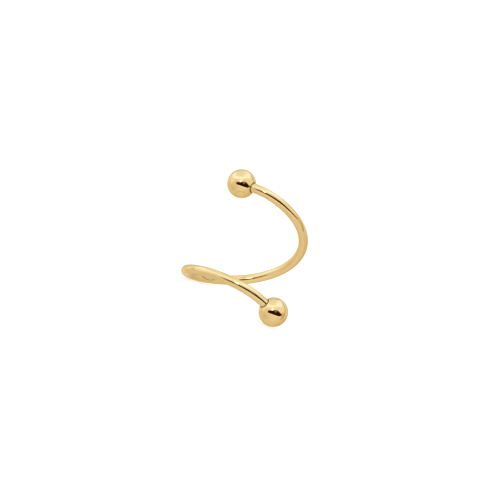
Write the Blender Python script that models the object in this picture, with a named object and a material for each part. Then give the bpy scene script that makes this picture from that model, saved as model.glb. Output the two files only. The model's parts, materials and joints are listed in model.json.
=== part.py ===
"""Spiral piercing hoop: a round gold wire bent into just over one turn, with a screw-on ball at each end.

Metres, +Z up. The hoop rests on a table as it lies by itself, on its lower ball and on one point of its
coil. The origin is the middle of the base of its bounding box. The front, which faces -Y, is the open
side of the coil, where both ends of the wire are.
"""

import math

import bmesh
import bpy
from mathutils import Matrix, Vector

MM = 0.001

# Wire and coil, in the coil's own coordinates: axis along Z, open side towards -Y
WIRE_DIAMETER = 1.0 * MM
WIRE_LENGTH = 41.1 * MM  # centre line, from one ball's face to the other's
COIL_RADIUS = 5.64 * MM  # centre line, seen along the axis
DESCENT = math.radians(17.0)  # of the wire below level, the same all along it
END_LENGTH = 2.6 * MM  # stretch next to each ball that curls in more tightly
UPPER_END_RADIUS = 3.54 * MM
LOWER_END_RADIUS = 4.78 * MM
MIDDLE_PAST_BACK = math.radians(12.2)  # how far round from the back the middle of the wire lies
FRONT_BELOW_LEVEL = math.radians(24.0)  # the hoop's front faces this far below square to the axis

# Balls, their threads and their seats
BALL_DIAMETER = 3.0 * MM
THREAD_DIAMETER = 0.8 * MM  # over its crests; the thread is a plain stub here
THREAD_LENGTH = 1.8 * MM
THREAD_CHAMFER = 0.1 * MM
BORE_CLEARANCE = 0.05 * MM  # round the thread
BORE_SPARE = 0.2 * MM  # past the thread's tip
BORE_CONE = 0.15 * MM  # depth of the drill's point
RECESS_DEPTH = 0.15 * MM  # the wire's shoulder sits in a recess in the ball's face
RECESS_CLEARANCE = 0.05 * MM  # round the wire
RECESS_CHAMFER = 0.06 * MM
SEAT_GAP = 0.03 * MM  # between the shoulder and the floor of the recess

# Facets
WIRE_SIDES = 16
WIRE_STEP = 0.3 * MM
BALL_SIDES = 40
BALL_BANDS = 24
REST_STEP = 0.05 * MM  # along the wire, for finding where it touches the table
REST_FROM = 0.35  # share of the wire's length past which it can touch the table
REST_TO = 0.85
SHARP_ANGLE = math.radians(35.0)

GOLD_COLOUR = (0.80, 0.58, 0.27, 1.0)
GOLD_ROUGHNESS = 0.12

WIRE_RADIUS = WIRE_DIAMETER / 2
BALL_RADIUS = BALL_DIAMETER / 2
THREAD_RADIUS = THREAD_DIAMETER / 2
BORE_RADIUS = THREAD_RADIUS + BORE_CLEARANCE
RECESS_RADIUS = WIRE_RADIUS + RECESS_CLEARANCE
RIM_RADIUS = RECESS_RADIUS + RECESS_CHAMFER
FACE_DISTANCE = math.sqrt(BALL_RADIUS**2 - RIM_RADIUS**2)  # from a ball's centre to its face
SHOULDER_DEPTH = RECESS_DEPTH - SEAT_GAP  # of the wire's shoulder past the ball's face

X = Vector((1.0, 0.0, 0.0))
Y = Vector((0.0, 1.0, 0.0))
Z = Vector((0.0, 0.0, 1.0))


def clear_scene():
    for thing in list(bpy.data.objects):
        bpy.data.objects.remove(thing, do_unlink=True)


def direction(heading):
    """The way the wire points where it has this heading in plan."""
    level = math.cos(DESCENT)
    return Vector((math.cos(heading) * level, math.sin(heading) * level, -math.sin(DESCENT)))


def left_of(heading):
    return Vector((-math.sin(heading), math.cos(heading), 0.0))


def centre_line(step):
    """Points of the wire's centre line, each with its heading, from the upper ball's face to the lower's.

    In plan it is three arcs that meet smoothly and turn to the left, and it goes down all the way.
    """
    ends = END_LENGTH * math.cos(DESCENT)
    middle = WIRE_LENGTH * math.cos(DESCENT) - 2 * ends
    fall = math.tan(DESCENT)
    heading = math.pi + MIDDLE_PAST_BACK - middle / 2 / COIL_RADIUS - ends / UPPER_END_RADIUS
    point = Vector((0.0, 0.0, 0.0))
    line = [(point, heading)]
    joints = []
    for length, radius in ((ends, UPPER_END_RADIUS), (middle, COIL_RADIUS), (ends, LOWER_END_RADIUS)):
        joints.append((point, heading))
        steps = max(2, round(length / step))
        turn = length / radius / steps
        chord = 2 * radius * math.sin(turn / 2)
        for _ in range(steps):
            way = heading + turn / 2
            point = point + Vector((chord * math.cos(way), chord * math.sin(way), -length / steps * fall))
            heading += turn
            line.append((point, heading))
    coil_start, coil_heading = joints[1]
    coil_centre = coil_start + left_of(coil_heading) * COIL_RADIUS - Z * (middle / 2 * fall)
    return [(point - coil_centre, heading) for point, heading in line]


def end_of_wire(line, which):
    """Where the wire meets a ball's face, and the way it points out of the coil there."""
    point, heading = line[which]
    return point, direction(heading) if which else -direction(heading)


def ball_centre(line, which):
    face, outward = end_of_wire(line, which)
    return face + outward * FACE_DISTANCE


def resting_up(line):
    """The way that is up, in the coil's coordinates, when the hoop rests on its lower ball and its coil.

    A table under both the ball and one point of the wire has only one possible tilt. Of all such points,
    the hoop settles on the one that puts its centre of mass lowest.
    """
    upper, lower = ball_centre(line, 0), ball_centre(line, -1)
    ball_volume = 4 / 3 * math.pi * BALL_RADIUS**3
    wire_volume = math.pi * WIRE_RADIUS**2 * WIRE_LENGTH
    wire_centre = sum((point for point, _ in line), Vector()) / len(line)
    moment = wire_centre * wire_volume + (upper + lower) * ball_volume
    centre_of_mass = moment / (wire_volume + 2 * ball_volume)
    lowest = math.inf
    for point, heading in line[int(len(line) * REST_FROM) : int(len(line) * REST_TO)]:
        along = direction(heading)
        to_ball = lower - point
        across = to_ball - along * to_ball.dot(along)
        lean = (BALL_RADIUS - WIRE_RADIUS) / across.length
        up = across.normalized() * lean + along.cross(across).normalized() * math.sqrt(1 - lean**2)
        height = (centre_of_mass - point).dot(up)
        if 0 < height < lowest:
            lowest = height
            resting = up
    return resting


def resting_turn(line):
    """Rotation from the coil's coordinates to the table's, with the front towards -Y."""
    up = resting_up(line)
    front = Vector((0.0, -math.cos(FRONT_BELOW_LEVEL), -math.sin(FRONT_BELOW_LEVEL)))
    back = -(front - up * front.dot(up)).normalized()
    return Matrix((back.cross(up), back, up)).to_4x4()


def lofted(name, rings, sides):
    """Closed mesh through rings given as (centre, side, up, radius); a ring of no radius is one point."""
    bm = bmesh.new()
    loops = []
    for centre, side, up, radius in rings:
        if radius == 0:
            loops.append([bm.verts.new(centre)])
            continue
        loop = []
        for i in range(sides):
            angle = 2 * math.pi * i / sides
            loop.append(bm.verts.new(centre + (side * math.cos(angle) + up * math.sin(angle)) * radius))
        loops.append(loop)
    for loop, following in zip(loops, loops[1:]):
        for i in range(sides):
            corners = [loop[i % len(loop)], loop[(i + 1) % len(loop)]]
            corners += [following[(i + 1) % len(following)], following[i % len(following)]]
            bm.faces.new(list(dict.fromkeys(corners)))
    bmesh.ops.recalc_face_normals(bm, faces=bm.faces)
    mesh = bpy.data.meshes.new(name)
    bm.to_mesh(mesh)
    bm.free()
    mesh.shade_smooth()
    mesh.set_sharp_from_angle(angle=SHARP_ANGLE)
    mesh.materials.append(gold(name + "_gold"))
    thing = bpy.data.objects.new(name, mesh)
    bpy.context.collection.objects.link(thing)
    return thing


def gold(name):
    """Polished gold, as a material of its own."""
    material = bpy.data.materials.new(name)
    material.use_nodes = True
    shader = material.node_tree.nodes["Principled BSDF"]
    shader.inputs["Base Color"].default_value = GOLD_COLOUR
    shader.inputs["Metallic"].default_value = 1.0
    shader.inputs["Roughness"].default_value = GOLD_ROUGHNESS
    return material


def stub_rings(face, outward, side, up):
    """Rings of one end of the wire, from its tip back to its shoulder."""
    shoulder = face + outward * SHOULDER_DEPTH
    tip = shoulder + outward * THREAD_LENGTH
    return [
        (tip, side, up, 0),
        (tip, side, up, THREAD_RADIUS - THREAD_CHAMFER),
        (tip - outward * THREAD_CHAMFER, side, up, THREAD_RADIUS),
        (shoulder, side, up, THREAD_RADIUS),
        (shoulder, side, up, WIRE_RADIUS),
    ]


def make_wire(line):
    """The bent wire with a stepped-down stub at each end, in the coil's coordinates."""
    rings = []
    for point, heading in line:
        side = left_of(heading)
        rings.append((point, side, side.cross(direction(heading)), WIRE_RADIUS))
    first, last = rings[0], rings[-1]
    start = stub_rings(*end_of_wire(line, 0), first[1], first[2])
    finish = stub_rings(*end_of_wire(line, -1), last[1], last[2])
    return lofted("spiral_wire", start + rings + finish[::-1], WIRE_SIDES)


def ball_profile():
    """Radii and heights of a ball and the hole in it, from its far pole round to the bore's end.

    The ball's centre is at height 0, and its mouth faces down.
    """
    rim_angle = math.pi - math.asin(RIM_RADIUS / BALL_RADIUS)
    profile = [(0, BALL_RADIUS)]
    for i in range(1, BALL_BANDS + 1):
        angle = rim_angle * i / BALL_BANDS
        profile.append((BALL_RADIUS * math.sin(angle), BALL_RADIUS * math.cos(angle)))
    seat = -FACE_DISTANCE + RECESS_DEPTH
    bore_end = -FACE_DISTANCE + SHOULDER_DEPTH + THREAD_LENGTH + BORE_SPARE
    profile += [
        (RECESS_RADIUS, -FACE_DISTANCE + RECESS_CHAMFER),
        (RECESS_RADIUS, seat),
        (BORE_RADIUS, seat),
        (BORE_RADIUS, bore_end),
        (0, bore_end + BORE_CONE),
    ]
    return profile


def make_ball(name, line, which):
    """A ball on one end of the wire: its origin is its centre, and its Z points off the wire's end."""
    rings = [(Z * height, X, Y, radius) for radius, height in ball_profile()]
    ball = lofted(name, rings, BALL_SIDES)
    outward = end_of_wire(line, which)[1]
    ball.location = ball_centre(line, which)
    ball.rotation_euler = outward.to_track_quat("Z", "Y").to_euler()
    return ball


def set_on_table(pieces):
    """Turns the coil to its resting attitude, and stands the middle of its box's base on the origin."""
    attitude = bpy.data.objects.new("resting_attitude", None)
    bpy.context.collection.objects.link(attitude)
    for piece in pieces:
        piece.parent = attitude
    attitude.matrix_world = resting_turn(centre_line(REST_STEP))
    bpy.context.view_layer.update()
    corners = [piece.matrix_world @ vertex.co for piece in pieces for vertex in piece.data.vertices]
    low = Vector([min(corner[axis] for corner in corners) for axis in range(3)])
    high = Vector([max(corner[axis] for corner in corners) for axis in range(3)])
    attitude.location = Vector((-(low.x + high.x) / 2, -(low.y + high.y) / 2, -low.z))


def main():
    clear_scene()
    line = centre_line(WIRE_STEP)
    wire = make_wire(line)
    upper = make_ball("upper_ball", line, 0)
    lower = make_ball("lower_ball", line, -1)
    set_on_table([wire, upper, lower])


main()
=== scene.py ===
import json
import math

import bpy
from mathutils import Matrix, Vector


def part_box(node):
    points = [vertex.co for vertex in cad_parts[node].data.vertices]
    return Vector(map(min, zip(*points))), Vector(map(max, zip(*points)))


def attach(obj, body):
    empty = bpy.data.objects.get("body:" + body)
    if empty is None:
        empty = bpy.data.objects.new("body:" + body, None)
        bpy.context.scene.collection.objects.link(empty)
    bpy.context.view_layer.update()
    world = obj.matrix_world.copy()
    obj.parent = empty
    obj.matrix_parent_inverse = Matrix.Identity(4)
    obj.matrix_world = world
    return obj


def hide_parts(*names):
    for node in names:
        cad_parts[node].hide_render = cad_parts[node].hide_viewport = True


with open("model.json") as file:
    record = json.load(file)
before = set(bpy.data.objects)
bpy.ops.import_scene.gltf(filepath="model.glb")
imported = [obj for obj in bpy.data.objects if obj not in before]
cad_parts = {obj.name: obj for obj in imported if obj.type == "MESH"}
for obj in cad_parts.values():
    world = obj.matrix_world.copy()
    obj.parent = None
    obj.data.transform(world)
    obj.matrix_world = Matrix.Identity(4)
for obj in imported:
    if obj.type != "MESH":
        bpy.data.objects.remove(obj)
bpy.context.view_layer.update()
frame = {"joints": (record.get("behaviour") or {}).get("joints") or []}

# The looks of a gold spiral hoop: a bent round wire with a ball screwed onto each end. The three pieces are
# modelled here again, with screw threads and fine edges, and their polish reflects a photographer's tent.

MM = 0.001

# The hoop, with the same sizes as the solid model
WIRE_RADIUS = 0.5 * MM
WIRE_LENGTH = 41.1 * MM  # along its centre line, between the balls' faces
COIL_RADIUS = 5.64 * MM
DESCENT = math.radians(17.0)
END_LENGTH = 2.6 * MM  # of the wire that curls in more tightly at each end
UPPER_END_RADIUS = 3.54 * MM
LOWER_END_RADIUS = 4.78 * MM
MIDDLE_PAST_BACK = math.radians(12.2)
BALL_RADIUS = 1.5 * MM
THREAD_RADIUS = 0.4 * MM
THREAD_LENGTH = 1.8 * MM
THREAD_CHAMFER = 0.1 * MM
BORE_CLEARANCE = 0.05 * MM
BORE_SPARE = 0.2 * MM
BORE_CONE = 0.15 * MM
RECESS_DEPTH = 0.15 * MM
RECESS_CLEARANCE = 0.05 * MM
RECESS_CHAMFER = 0.06 * MM
SEAT_GAP = 0.03 * MM

# Detail that the solid model leaves out
THREAD_PITCH = 0.2 * MM
THREAD_DEPTH = 0.07 * MM
BORE_THREAD_DEPTH = 0.03 * MM
THREAD_RUNOUT = 0.16 * MM
THREAD_FLANK = (0.12, 0.88)  # a thread rises from root to crest between these shares of half a turn
MOUTH_CLEARANCE = 0.035 * MM  # of a ball's recess round the wire, which the solid model has wider
MOUTH_CHAMFER = 0.04 * MM
SHOULDER_ROUND = 0.03 * MM
RIM_ROUND = 0.02 * MM

# How much painted shade darkens each part's colour, from 0 to 1, in its crevices, threads, bore and joins
TIP_PAINTED_SHADE = 0.2
THREAD_PAINTED_SHADE = 0.35
SHOULDER_PAINTED_SHADE = 0.5
WIRE_END_PAINTED_SHADE = 0.5  # of the wire right at a ball, fading out over the next length: painted shade at the join, and a painted continuation of the wire's dark reflected line up to the ball
WIRE_END_FADE = 0.2 * MM
RIM_PAINTED_SHADE = 0.2
CHAMFER_PAINTED_SHADE = 0.9
SEAT_PAINTED_SHADE = 1.0
BORE_PAINTED_SHADE = 0.9

# How finely the meshes follow the shapes
WIRE_STEP = 0.08 * MM
WIRE_SIDES = 80
BALL_SIDES = 96
BALL_BANDS = 88
THREAD_ROWS = 12  # to each turn of a thread
ROUND_STEPS = 5
SHARP_ANGLE = math.radians(40.0)

# Polished gold. Noise scales are features per millimetre.
PALE_GOLD = (0.955, 0.705, 0.32, 1.0)
DEEP_GOLD = (0.915, 0.69, 0.265, 1.0)
EDGE_TINT = (0.68, 0.66, 0.50, 1.0)
# the dark brown of the painted shade in crevices and joins
PAINTED_SHADE_COLOUR = (0.30, 0.18, 0.05, 1.0)
SEED_SHIFT = (7.3, 3.1, 5.7)  # how far apart in the noise the pieces lie
NOISE_LOW = 0.3  # the noise runs from its low look to its high one between these values
NOISE_HIGH = 0.7
CLOUD_SCALE = 1.6
CLOUD_DETAIL = 3.0
MARK_SCALE = 14.0
MARK_DETAIL = 4.0
MARK_ROUGHNESS = 0.7
WIRE_MARKS = 0.04  # scale of the polishing marks along the wire, which draws them out that way
BALL_MARKS = 0.3
BRIGHT_ROUGHNESS = 0.05
WORN_ROUGHNESS = 0.09
CREVICE_ROUGHNESS = 0.3
RIPPLE_HEIGHT = 0.002 * MM
MARK_HEIGHT = 0.00004 * MM

# The photographer's tent that the gold reflects. Directions are an azimuth, with 0 at the front and 90 at
# the right, and an elevation, both in degrees, and light is red, green and blue.
TENT_CENTRE = Vector((0.0, 0.0, 6.5 * MM))
TENT_RADIUS = 0.6
TENT_STEP = 3.0
LOW_LIGHT = (0.81, 0.76, 0.79)
HIGH_LIGHT = (0.92, 0.92, 1.05)
HIGH_FADE = (-15.0, 25.0)  # the low light gives way to the high between these elevations
TOP_WAY = (-98.0, 63.0)  # middle of the tent's round top
TOP_MIDDLE = (0.89, 0.94, 1.08)
TOP_EDGE = (0.98, 1.04, 1.20)
TOP_RADIUS = 42.0
TOP_FADE = 8.0
BAND_LIGHT = (1.06, 1.28, 1.75)  # of the bright band round the top
BAND_FULL = 4.0
BAND_FADE = 14.0
BAND_FOOT = (-8.0, 16.0)  # the band fades in between these elevations
BACK_WAY = (180.0, -5.0)  # the band leaves out the back
BACK_RADIUS = 46.0
BACK_FADE = 20.0
# Softer patches of its walls, and glows of its lamps: azimuth, elevation, full within, gone past, light
WALL_PATCHES = (
    (-88, 4, 12, 30, (0.98, 0.97, 1.12)),
    (-130, 0, 12, 28, (0.99, 0.98, 1.14)),
    (-150, 28, 8, 26, (0.75, 0.82, 0.98)),
    (172, -15, 20, 38, (1.05, 0.98, 0.95)),
    (-158, -20, 8, 24, (1.22, 1.08, 0.98)),
    (-170, -60, 8, 24, (0.72, 0.71, 0.80)),
    (-70, -48, 10, 26, (0.71, 0.66, 0.64)),
    (20, -32, 18, 36, (0.88, 0.83, 0.87)),
    (122, -28, 20, 38, (0.74, 0.67, 0.59)),
    (84, 6, 8, 28, (0.69, 0.64, 0.56)),
)
LAMP_GLOWS = (
    (75, 76, 12, 26, (1.05, 1.25, 1.95)),
    (-16, 24, 5, 12, (1.0, 1.1, 1.5)),
)
CARD_STEPS = 6
STRIP_TIP = 0.3  # a strip's width at its ends, as a share of its full width

# The table and the backdrop
TABLE_LEVEL = -0.003 * MM  # a hair under the hoop
TABLE_REACH = 4.0
TABLE_COLOUR = (0.5, 0.5, 0.5, 1.0)
TABLE_ROUGHNESS = 0.6
TABLE_SPECULAR = 0.2
TABLE_GLOW = 0.6
BACKDROP_LIGHT = 1.05
WHITE = (1.0, 1.0, 1.0, 1.0)

# The photograph's camera, in the coil's own coordinates, and how it is aimed
ROLL = math.radians(-12.321)
VIEW_TILT = math.radians(24.11)
CAMERA_DISTANCE = 211.4 * MM
AIM_RIGHT = 0.646 * MM
AIM_UP = 1.240 * MM
LENS = 147.2
SENSOR = 36.0
CLIP_START = 10 * MM
CLIP_END = 20.0

# Sizes that follow from these
BORE_RADIUS = THREAD_RADIUS + BORE_CLEARANCE
RECESS_RADIUS = WIRE_RADIUS + RECESS_CLEARANCE
RIM_RADIUS = RECESS_RADIUS + RECESS_CHAMFER
FACE_DISTANCE = math.sqrt(BALL_RADIUS**2 - RIM_RADIUS**2)
SHOULDER_DEPTH = RECESS_DEPTH - SEAT_GAP
MOUTH_RADIUS = WIRE_RADIUS + MOUTH_CLEARANCE
MOUTH_RIM_RADIUS = MOUTH_RADIUS + MOUTH_CHAMFER
MOUTH_RIM_HEIGHT = -math.sqrt(BALL_RADIUS**2 - MOUTH_RIM_RADIUS**2)

X = Vector((1.0, 0.0, 0.0))
Y = Vector((0.0, 1.0, 0.0))
Z = Vector((0.0, 0.0, 1.0))


# Shapes

def direction(heading):
    """The way the wire points where it has this heading in plan."""
    level = math.cos(DESCENT)
    return Vector((math.cos(heading) * level, math.sin(heading) * level, -math.sin(DESCENT)))


def left_of(heading):
    """The level way to the wire's left, which is toward the coil's axis."""
    return Vector((-math.sin(heading), math.cos(heading), 0.0))


def centre_line(step):
    """Points of the wire's centre line with their headings, from the upper ball's face to the lower's."""
    ends = END_LENGTH * math.cos(DESCENT)
    middle = WIRE_LENGTH * math.cos(DESCENT) - 2 * ends
    fall = math.tan(DESCENT)
    heading = math.pi + MIDDLE_PAST_BACK - middle / 2 / COIL_RADIUS - ends / UPPER_END_RADIUS
    point = Vector((0.0, 0.0, 0.0))
    line = [(point, heading)]
    joints = []
    for length, radius in ((ends, UPPER_END_RADIUS), (middle, COIL_RADIUS), (ends, LOWER_END_RADIUS)):
        joints.append((point, heading))
        steps = max(2, round(length / step))
        turn = length / radius / steps
        chord = 2 * radius * math.sin(turn / 2)
        for _ in range(steps):
            way = heading + turn / 2
            point = point + Vector((chord * math.cos(way), chord * math.sin(way), -length / steps * fall))
            heading += turn
            line.append((point, heading))
    coil_start, coil_heading = joints[1]
    coil_centre = coil_start + left_of(coil_heading) * COIL_RADIUS - Z * (middle / 2 * fall)
    return [(point - coil_centre, heading) for point, heading in line]


def end_of_wire(line, which):
    """Where the wire meets a ball's face, and the way it points out of the coil there."""
    point, heading = line[which]
    return point, direction(heading) if which else -direction(heading)


def smooth(low, high, value):
    """An easy slope from 0 at low to 1 at high, and level past both; low may be the greater."""
    share = min(max((value - low) / (high - low), 0.0), 1.0)
    return share * share * (3 - 2 * share)


def ridge(turns):
    """Height of a rounded screw thread, from 0 in its root to 1 on its crest, this many turns along."""
    return smooth(*THREAD_FLANK, 1 - abs(2 * (turns % 1.0) - 1))


def fillet(at, corner, to, radius):
    """Points of a rounded corner between two straight edges, as (radius, height) pairs."""
    corner = Vector(corner)
    first = (Vector(at) - corner).normalized()
    last = (Vector(to) - corner).normalized()
    half = first.angle(last) / 2
    middle = corner + (first + last).normalized() * (radius / math.sin(half))
    reach = radius / math.tan(half)
    start = (corner + first * reach - middle).normalized()
    end = (corner + last * reach - middle).normalized()
    points = []
    for i in range(ROUND_STEPS + 1):
        way = start.slerp(end, i / ROUND_STEPS)
        points.append(tuple(middle + way * radius))
    return points


def turned(name, rows, sides, painted_shade):
    """Closed mesh through rows of (centre, side, up, radius, along); radius may follow the angle.

    The attribute "place" holds where each point would be, in millimetres, if the piece were straight, and
    another holds how much painted shade darkens each point.
    """
    vertices = []
    faces = []
    places = []
    shade = []
    loops = []
    for (centre, side, up, radius, along), dark in zip(rows, painted_shade):
        if radius == 0:
            loops.append([len(vertices)])
            vertices.append(centre)
            places.append((0.0, 0.0, along / MM))
            shade.append(dark)
            continue
        loop = []
        for i in range(sides):
            angle = 2 * math.pi * i / sides
            reach = radius(angle) if callable(radius) else radius
            loop.append(len(vertices))
            vertices.append(centre + (side * math.cos(angle) + up * math.sin(angle)) * reach)
            places.append((reach / MM * math.cos(angle), reach / MM * math.sin(angle), along / MM))
            shade.append(dark)
        loops.append(loop)
    for loop, following in zip(loops, loops[1:]):
        for i in range(sides):
            corners = [loop[i % len(loop)], following[i % len(following)]]
            corners += [following[(i + 1) % len(following)], loop[(i + 1) % len(loop)]]
            faces.append(list(dict.fromkeys(corners)))
    mesh = bpy.data.meshes.new(name)
    mesh.from_pydata(vertices, [], faces)
    place = mesh.attributes.new("place", "FLOAT_VECTOR", "POINT")
    place.data.foreach_set("vector", [number for point in places for number in point])
    sheltered = mesh.attributes.new("painted_shade", "FLOAT", "POINT")
    sheltered.data.foreach_set("value", shade)
    mesh.shade_smooth()
    mesh.set_sharp_from_angle(angle=SHARP_ANGLE)
    mesh.validate()
    piece = bpy.data.objects.new(name, mesh)
    bpy.context.scene.collection.objects.link(piece)
    return piece


def stub_rows(face, outward, side, hand, start):
    """Rows of one threaded end of the wire, from its tip to the edge of its shoulder, and their painted
    shade.
    """
    up = outward.cross(side) * hand
    root = THREAD_RADIUS - THREAD_DEPTH
    length = SHOULDER_DEPTH + THREAD_LENGTH
    step = THREAD_PITCH / THREAD_ROWS

    def thread(out):
        """Radius of the thread this far out from the ball's face, at each angle."""
        into = smooth(0, THREAD_RUNOUT, out - SHOULDER_DEPTH)
        most = min(THREAD_RADIUS, THREAD_RADIUS - THREAD_CHAMFER + (length - out))

        def radius(angle):
            height = THREAD_DEPTH * ridge(out / THREAD_PITCH - hand * angle / (2 * math.pi))
            return min(root + height * into, most)

        return radius

    rows = [(face + outward * length, side, up, 0, start + length)]
    dark = [TIP_PAINTED_SHADE]
    for i in range(round(THREAD_LENGTH / step) + 1):
        out = length - i * step
        rows.append((face + outward * out, side, up, thread(out), start + out))
        dark.append(THREAD_PAINTED_SHADE)
    ledge = (root, SHOULDER_DEPTH)
    edge = (WIRE_RADIUS, SHOULDER_DEPTH)
    for reach, out in fillet(ledge, edge, (WIRE_RADIUS, 0), SHOULDER_ROUND):
        rows.append((face + outward * out, side, up, reach, start + out))
        dark.append(SHOULDER_PAINTED_SHADE)
    return rows, dark


def make_wire(line):
    """The bent wire with a threaded stub at each end."""
    rows = []
    dark = []
    length = 0.0
    for (point, heading), (before, _) in zip(line, [line[0]] + line[:-1]):
        side = left_of(heading)
        length += (point - before).length
        rows.append((point, side, side.cross(direction(heading)), WIRE_RADIUS, length))
        # Painted shade on the wire near each ball, fading away from the join
        from_end = min(length, WIRE_LENGTH - length)
        dark.append(smooth(WIRE_END_FADE, 0.0, from_end) * WIRE_END_PAINTED_SHADE)
    face, outward = end_of_wire(line, 0)
    start, start_dark = stub_rows(face, outward, rows[0][1], 1, 0.0)
    start = [row[:4] + (-row[4],) for row in start]
    face, outward = end_of_wire(line, -1)
    finish, finish_dark = stub_rows(face, outward, rows[-1][1], -1, length)
    rows = start + rows + finish[::-1]
    return turned("hoop_wire", rows, WIRE_SIDES, start_dark + dark + finish_dark[::-1])


def ball_profile():
    """(radius, height, painted shade) round a ball from its far pole to its mouth and the bore's end.

    The ball's centre is at height 0, and its mouth faces down. A radius that is a function is a thread's.
    """
    rim_angle = math.pi - math.asin(MOUTH_RIM_RADIUS / BALL_RADIUS)
    profile = [(0, BALL_RADIUS, 0.0)]
    arc = []
    for i in range(1, BALL_BANDS + 1):
        angle = rim_angle * i / BALL_BANDS
        arc.append((BALL_RADIUS * math.sin(angle), BALL_RADIUS * math.cos(angle)))
    seat = -FACE_DISTANCE + RECESS_DEPTH
    bore_end = -FACE_DISTANCE + SHOULDER_DEPTH + THREAD_LENGTH + BORE_SPARE
    chamfer = (MOUTH_RADIUS, MOUTH_RIM_HEIGHT + MOUTH_CHAMFER)
    rim = fillet(arc[-2], arc[-1], chamfer, RIM_ROUND)
    arc = [point for point in arc if (Vector(point) - Vector(rim[0])).length > RIM_ROUND]
    arc = [point for point in arc if point[1] > rim[0][1]]
    for reach, height in arc:
        profile.append((reach, height, 0.0))
    # The ball's rim, mouth chamfer, seat and bore take painted shade.
    for reach, height in rim:
        profile.append((reach, height, RIM_PAINTED_SHADE))
    for reach, height in fillet(rim[-1], chamfer, (MOUTH_RADIUS, seat), RIM_ROUND):
        profile.append((reach, height, CHAMFER_PAINTED_SHADE))
    profile.append((MOUTH_RADIUS, seat, SEAT_PAINTED_SHADE))
    step = THREAD_PITCH / THREAD_ROWS
    rows = math.floor((bore_end - seat) / step)
    for i in range(rows + 1):
        height = seat + (bore_end - seat) * i / rows
        depth = BORE_THREAD_DEPTH * smooth(0, THREAD_RUNOUT, min(height - seat, bore_end - height))

        def radius(angle, height=height, depth=depth):
            return BORE_RADIUS - depth * ridge(height / THREAD_PITCH - angle / (2 * math.pi))

        profile.append((radius, height, BORE_PAINTED_SHADE))
    profile.append((0, bore_end + BORE_CONE, SEAT_PAINTED_SHADE))
    return profile


def make_ball(name, line, which):
    """A ball on one end of the wire: its origin is its centre, and its Z points off the wire's end."""
    profile = ball_profile()
    rows = [(Z * height, X, Y, radius, height) for radius, height, _ in profile]
    ball = turned(name, rows, BALL_SIDES, [dark for _, _, dark in profile])
    face, outward = end_of_wire(line, which)
    turn = outward.to_track_quat("Z", "Y").to_matrix().to_4x4()
    ball.matrix_world = Matrix.Translation(face + outward * FACE_DISTANCE) @ turn
    return ball


def attitude(line):
    """Matrix from the coil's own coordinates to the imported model's, found from its balls and slides."""
    slides = {joint["child"]: Vector(joint["axis"]).normalized() for joint in frame["joints"]}
    here = [end_of_wire(line, 0), end_of_wire(line, -1)]
    there = [slides["upper_ball"], slides["lower_ball"]]

    def axes(first, second):
        across = first.cross(second).normalized()
        return Matrix((first, across, first.cross(across))).transposed()

    turn = axes(*there) @ axes(here[0][1], here[1][1]).inverted()
    shift = Vector()
    for (face, outward), ball in zip(here, ("upper_ball", "lower_ball")):
        low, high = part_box(ball)
        shift += ((low + high) / 2 - turn @ (face + outward * FACE_DISTANCE)) / 2
    lower = turn @ (here[1][0] + here[1][1] * FACE_DISTANCE)
    shift.z = BALL_RADIUS - lower.z
    return Matrix.Translation(shift) @ turn.to_4x4()


# Materials

def node(tree, kind, **settings):
    """A new node with these settings."""
    made = tree.nodes.new(kind)
    for key, value in settings.items():
        setattr(made, key, value)
    return made


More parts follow.
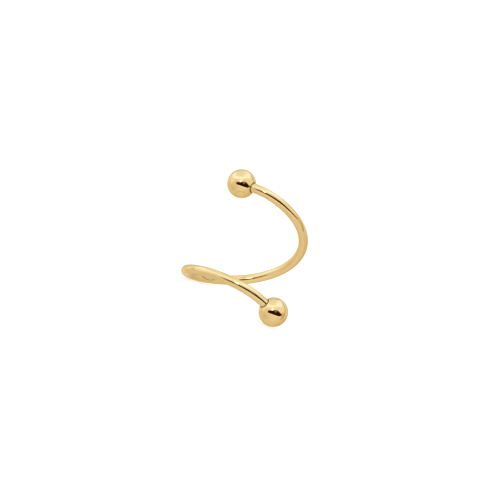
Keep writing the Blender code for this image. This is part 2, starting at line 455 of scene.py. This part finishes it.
def gold(name, seed, stretch):
    """Polished 14 carat gold: slow colour and gloss changes, fine polishing marks, rougher in crevices, and
    painted shade darkening them.
    """
    material = bpy.data.materials.new(name)
    material.use_nodes = True
    tree = material.node_tree
    link = tree.links.new
    shader = tree.nodes["Principled BSDF"]
    shader.inputs["Metallic"].default_value = 1.0
    shader.inputs["Specular Tint"].default_value = EDGE_TINT

    place = node(tree, "ShaderNodeAttribute", attribute_name="place")
    shift = node(tree, "ShaderNodeMapping")
    shift.inputs["Location"].default_value = [seed * number for number in SEED_SHIFT]
    link(place.outputs["Vector"], shift.inputs["Vector"])
    drawn = node(tree, "ShaderNodeMapping")
    drawn.inputs["Scale"].default_value = (1.0, 1.0, stretch)
    link(shift.outputs["Vector"], drawn.inputs["Vector"])

    cloud = node(tree, "ShaderNodeTexNoise")
    cloud.inputs["Scale"].default_value = CLOUD_SCALE
    cloud.inputs["Detail"].default_value = CLOUD_DETAIL
    link(shift.outputs["Vector"], cloud.inputs["Vector"])
    marks = node(tree, "ShaderNodeTexNoise")
    marks.inputs["Scale"].default_value = MARK_SCALE
    marks.inputs["Detail"].default_value = MARK_DETAIL
    marks.inputs["Roughness"].default_value = MARK_ROUGHNESS
    link(drawn.outputs["Vector"], marks.inputs["Vector"])

    ramp = node(tree, "ShaderNodeValToRGB")
    deep, pale = ramp.color_ramp.elements
    deep.position = NOISE_LOW
    deep.color = DEEP_GOLD
    pale.position = NOISE_HIGH
    pale.color = PALE_GOLD
    link(cloud.outputs["Fac"], ramp.inputs["Fac"])
    # Painted shade: the colour darkens toward a dark brown by the amount each vertex holds, and the same
    # amount makes crevices rougher
    dark = node(tree, "ShaderNodeAttribute", attribute_name="painted_shade")
    painted_shade = node(tree, "ShaderNodeMix", data_type="RGBA")
    painted_shade.inputs["B"].default_value = PAINTED_SHADE_COLOUR
    link(dark.outputs["Fac"], painted_shade.inputs["Factor"])
    link(ramp.outputs["Color"], painted_shade.inputs["A"])
    link(painted_shade.outputs["Result"], shader.inputs["Base Color"])

    gloss = node(tree, "ShaderNodeMapRange")
    gloss.inputs["From Min"].default_value = NOISE_LOW
    gloss.inputs["From Max"].default_value = NOISE_HIGH
    gloss.inputs["To Min"].default_value = BRIGHT_ROUGHNESS
    gloss.inputs["To Max"].default_value = WORN_ROUGHNESS
    link(marks.outputs["Fac"], gloss.inputs["Value"])
    crevice = node(tree, "ShaderNodeMath", operation="MULTIPLY_ADD")
    crevice.inputs[1].default_value = CREVICE_ROUGHNESS
    link(dark.outputs["Fac"], crevice.inputs[0])
    link(gloss.outputs["Result"], crevice.inputs[2])
    link(crevice.outputs["Value"], shader.inputs["Roughness"])

    ripple = node(tree, "ShaderNodeBump")
    ripple.inputs["Distance"].default_value = RIPPLE_HEIGHT
    link(cloud.outputs["Fac"], ripple.inputs["Height"])
    bump = node(tree, "ShaderNodeBump")
    bump.inputs["Distance"].default_value = MARK_HEIGHT
    link(marks.outputs["Fac"], bump.inputs["Height"])
    link(ripple.outputs["Normal"], bump.inputs["Normal"])
    link(bump.outputs["Normal"], shader.inputs["Normal"])
    return material


def shining(name, colour, strength):
    """A material that shines in this colour or, without one, in each vertex's own "light"."""
    material = bpy.data.materials.new(name)
    material.use_nodes = True
    material.cycles.emission_sampling = "NONE"
    tree = material.node_tree
    tree.nodes.clear()
    out = node(tree, "ShaderNodeOutputMaterial")
    shine = node(tree, "ShaderNodeEmission")
    shine.inputs["Strength"].default_value = strength
    if colour:
        shine.inputs["Color"].default_value = (*colour, 1.0)
    else:
        light = node(tree, "ShaderNodeAttribute", attribute_name="light")
        tree.links.new(light.outputs["Color"], shine.inputs["Color"])
    tree.links.new(shine.outputs["Emission"], out.inputs["Surface"])
    return material


# Studio

def toward(azimuth, elevation):
    """A direction from the hoop: azimuth 0 is to the front, 90 to the right, elevation above level."""
    around = math.radians(azimuth)
    above = math.radians(elevation)
    level = math.cos(above)
    return Vector((math.sin(around) * level, -math.cos(around) * level, math.sin(above)))


def between(way, azimuth, elevation):
    """Degrees between two directions."""
    return math.degrees(way.angle(toward(azimuth, elevation)))


def mixed(first, second, share):
    """The light this share of the way from the first to the second."""
    return [a + (b - a) * share for a, b in zip(first, second)]


def patched(light, way, patches):
    """The light in this direction with the patches laid over it in turn."""
    for azimuth, elevation, full, fade, patch in patches:
        light = mixed(light, patch, smooth(fade, full, between(way, azimuth, elevation)))
    return light


def tent_light(way):
    """Light that comes to the hoop from this direction in the white tent."""
    level = math.degrees(math.asin(max(-1.0, min(1.0, way.z))))
    light = mixed(LOW_LIGHT, HIGH_LIGHT, smooth(*HIGH_FADE, level))
    off_top = between(way, *TOP_WAY)
    top = mixed(TOP_MIDDLE, TOP_EDGE, off_top / TOP_RADIUS)
    light = mixed(light, top, smooth(TOP_RADIUS, TOP_RADIUS - TOP_FADE, off_top))
    light = patched(light, way, WALL_PATCHES)
    band = smooth(BAND_FADE, BAND_FULL, abs(off_top - TOP_RADIUS)) * smooth(*BAND_FOOT, level)
    band *= smooth(BACK_RADIUS, BACK_RADIUS + BACK_FADE, between(way, *BACK_WAY))
    return patched(mixed(light, BAND_LIGHT, band), way, LAMP_GLOWS)


def studio_piece(name, vertices, faces, colour=None, strength=1.0, lights=()):
    """A shining thing that shows only in the gold, and stays out of the picture and off the table.

    It has one colour, or a light for each vertex.
    """
    mesh = bpy.data.meshes.new(name)
    mesh.from_pydata(vertices, [], faces)
    if lights:
        shades = mesh.attributes.new("light", "FLOAT_COLOR", "POINT")
        shades.data.foreach_set("color", [number for light in lights for number in (*light, 1.0)])
    mesh.materials.append(shining(name, colour, strength))
    piece = bpy.data.objects.new(name, mesh)
    piece.visible_camera = False
    piece.visible_diffuse = False
    piece.visible_shadow = False
    bpy.context.scene.collection.objects.link(piece)


def make_tent():
    """The tent's inside, as the gold reflects it: a dome round the hoop that shines by direction."""
    columns = round(360 / TENT_STEP)
    rows = round(180 / TENT_STEP)
    levels = [180 * j / rows - 90 for j in range(rows + 1)]
    ways = [toward(360 * i / columns, level) for level in levels for i in range(columns)]
    faces = []
    for j in range(rows):
        for i in range(columns):
            low = (j * columns + i, j * columns + (i + 1) % columns)
            faces.append((*low, low[1] + columns, low[0] + columns))
    vertices = [TENT_CENTRE + way * TENT_RADIUS for way in ways]
    studio_piece("tent", vertices, faces, lights=[tent_light(way) for way in ways])


def card(name, distance, colour, strength, outline):
    """A card in the studio: its outline is a list of (azimuth, low elevation, high elevation)."""
    vertices = []
    faces = []
    for azimuth, low, high in outline:
        for i in range(CARD_STEPS + 1):
            way = toward(azimuth, low + (high - low) * i / CARD_STEPS)
            vertices.append(way * distance + TENT_CENTRE)
    for column in range(len(outline) - 1):
        for i in range(CARD_STEPS):
            start = column * (CARD_STEPS + 1) + i
            faces.append((start, start + 1, start + CARD_STEPS + 2, start + CARD_STEPS + 1))
    studio_piece(name, vertices, faces, colour, strength)


def strip(name, distance, width, start, end, course):
    """A narrow band in the studio that tapers to its ends, along a course of (azimuth, elevation) points.

    Its width is in degrees, and its light goes from start to end along it.
    """
    ways = [toward(*point) for point in course]
    vertices = []
    lights = []
    for i, way in enumerate(ways):
        ahead = ways[min(i + 1, len(ways) - 1)] - ways[max(i - 1, 0)]
        share = i / (len(ways) - 1)
        taper = STRIP_TIP + (1 - STRIP_TIP) * math.sin(math.pi * share)
        side = way.cross(ahead).normalized() * math.tan(math.radians(width * taper / 2))
        vertices += [(way - side) * distance + TENT_CENTRE, (way + side) * distance + TENT_CENTRE]
        lights += [mixed(start, end, share)] * 2
    faces = [(2 * i, 2 * i + 1, 2 * i + 3, 2 * i + 2) for i in range(len(ways) - 1)]
    studio_piece(name, vertices, faces, lights=lights)


def make_cards():
    """Crisp things in the tent: its dark front gap, the camera in it, the lamp over it, and folds and seams.

    Where two of them overlap, the nearer one hides the other.
    """
    card("front_gap", distance=0.35, colour=(1.0, 0.28, 0.03), strength=0.022, outline=(
        (-40, -8.5, -2), (-37, -11.5, 1), (-33, -13, 2.5), (-15, -11.5, 12.5), (0, -10, 18.5),
        (15, -8.5, 26), (30, -6.5, 26.5), (45, -5, 19.5), (53, -3.5, 14), (59, 0, 11), (63, 4, 9),
    ))
    card("gap_edge", distance=0.36, colour=(1.0, 0.38, 0.04), strength=0.23, outline=(
        (-44, -7.5, -1.5), (-41, -11, 1), (-37, -14.5, 3.5), (-33, -16, 5.5), (-15, -14, 16),
        (0, -12.5, 22), (15, -11.5, 29.5), (30, -9.5, 30), (45, -8, 23.5), (56, -6.5, 17.5),
        (62, -3.5, 14.5), (69, 1.5, 13), (76, 6, 12),
    ))
    card("camera_glint", distance=0.34, colour=(1.0, 0.82, 0.42), strength=0.24, outline=(
        (4, 13, 18), (9, 10, 23), (18, 11, 26), (26, 17, 24),
    ))
    card("front_lamp", distance=0.32, colour=(1.0, 1.1, 1.25), strength=2.9, outline=(
        (-21, 16, 28), (-19, 12, 32), (-14, 12, 32), (-12, 16, 28),
    ))
    strip("front_fold", distance=0.37, width=4, start=(1.2, 1.2, 1.5), end=(1.2, 1.2, 1.5), course=(
        (-34, -18.5), (-15, -17), (0, -15.5), (20, -14), (40, -12.5), (55, -10), (70, -6.5),
    ))
    strip("right_seam", distance=0.5, width=10, start=(0.40, 0.31, 0.15), end=(0.62, 0.54, 0.38), course=(
        (82, -22), (84, -18), (88, -9), (91, 0), (97, 9), (103, 18), (110, 28), (117, 36), (127, 44),
        (142, 49), (155, 49),
    ))
    strip("left_seam", distance=0.5, width=9, start=(0.88, 0.80, 0.72), end=(0.74, 0.62, 0.45), course=(
        (-113, 8), (-113, 0), (-111, -10), (-109, -20), (-107, -30), (-106, -38),
    ))


def make_table():
    """A pale table, wide enough to end past the horizon. The gold reflects the tent instead of it."""
    mesh = bpy.data.meshes.new("table")
    sides = ((-1, -1), (1, -1), (1, 1), (-1, 1))
    corners = [(x * TABLE_REACH, y * TABLE_REACH, TABLE_LEVEL) for x, y in sides]
    mesh.from_pydata(corners, [], [(0, 1, 2, 3)])
    material = bpy.data.materials.new("pale_table")
    material.use_nodes = True
    shader = material.node_tree.nodes["Principled BSDF"]
    shader.inputs["Base Color"].default_value = TABLE_COLOUR
    shader.inputs["Roughness"].default_value = TABLE_ROUGHNESS
    shader.inputs["Specular IOR Level"].default_value = TABLE_SPECULAR
    shader.inputs["Emission Color"].default_value = WHITE
    shader.inputs["Emission Strength"].default_value = TABLE_GLOW
    mesh.materials.append(material)
    table = bpy.data.objects.new("table", mesh)
    table.visible_glossy = False
    bpy.context.scene.collection.objects.link(table)


def make_world():
    """Even white light from all round, which lights the table and is the backdrop."""
    world = bpy.data.worlds.new("white_tent")
    bpy.context.scene.world = world
    world.use_nodes = True
    back = world.node_tree.nodes["Background"]
    back.inputs["Color"].default_value = WHITE
    back.inputs["Strength"].default_value = BACKDROP_LIGHT


def make_camera(line, place):
    """The photograph's camera, tilted and rolled from the coil and aimed a little off its middle."""
    middle = [(min(p[i] for p, _ in line) + max(p[i] for p, _ in line)) / 2 for i in range(3)]
    back = Vector((0.0, -math.cos(VIEW_TILT), -math.sin(VIEW_TILT)))
    level_up = Vector((0.0, -math.sin(VIEW_TILT), math.cos(VIEW_TILT)))
    up = X * math.sin(ROLL) + level_up * math.cos(ROLL)
    right = up.cross(back)
    spot = Vector(middle) + right * AIM_RIGHT + up * AIM_UP + back * CAMERA_DISTANCE
    turn = Matrix((right, up, back)).transposed().to_4x4()
    data = bpy.data.cameras.new("camera")
    data.lens = LENS
    data.sensor_width = SENSOR
    data.clip_start = CLIP_START
    data.clip_end = CLIP_END
    camera = bpy.data.objects.new("camera", data)
    camera.matrix_world = place @ Matrix.Translation(spot) @ turn
    bpy.context.scene.collection.objects.link(camera)
    bpy.context.scene.camera = camera


line = centre_line(WIRE_STEP)
place = attitude(line)
wire = make_wire(line)
upper = make_ball("hoop_upper_ball", line, 0)
lower = make_ball("hoop_lower_ball", line, -1)
for piece, body, replaced, seed, stretch in (
    (wire, "wire", "spiral_wire", 1, WIRE_MARKS),
    (upper, "upper_ball", "upper_ball", 2, BALL_MARKS),
    (lower, "lower_ball", "lower_ball", 3, BALL_MARKS),
):
    piece.data.transform(place @ piece.matrix_world)
    piece.matrix_world = Matrix.Identity(4)
    piece.data.materials.append(gold(piece.name + "_gold", seed, stretch))
    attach(piece, body)
    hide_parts(replaced)

make_table()
make_world()
make_camera(line, place)
make_tent()
make_cards()
bpy.context.scene.view_settings.view_transform = "Standard"
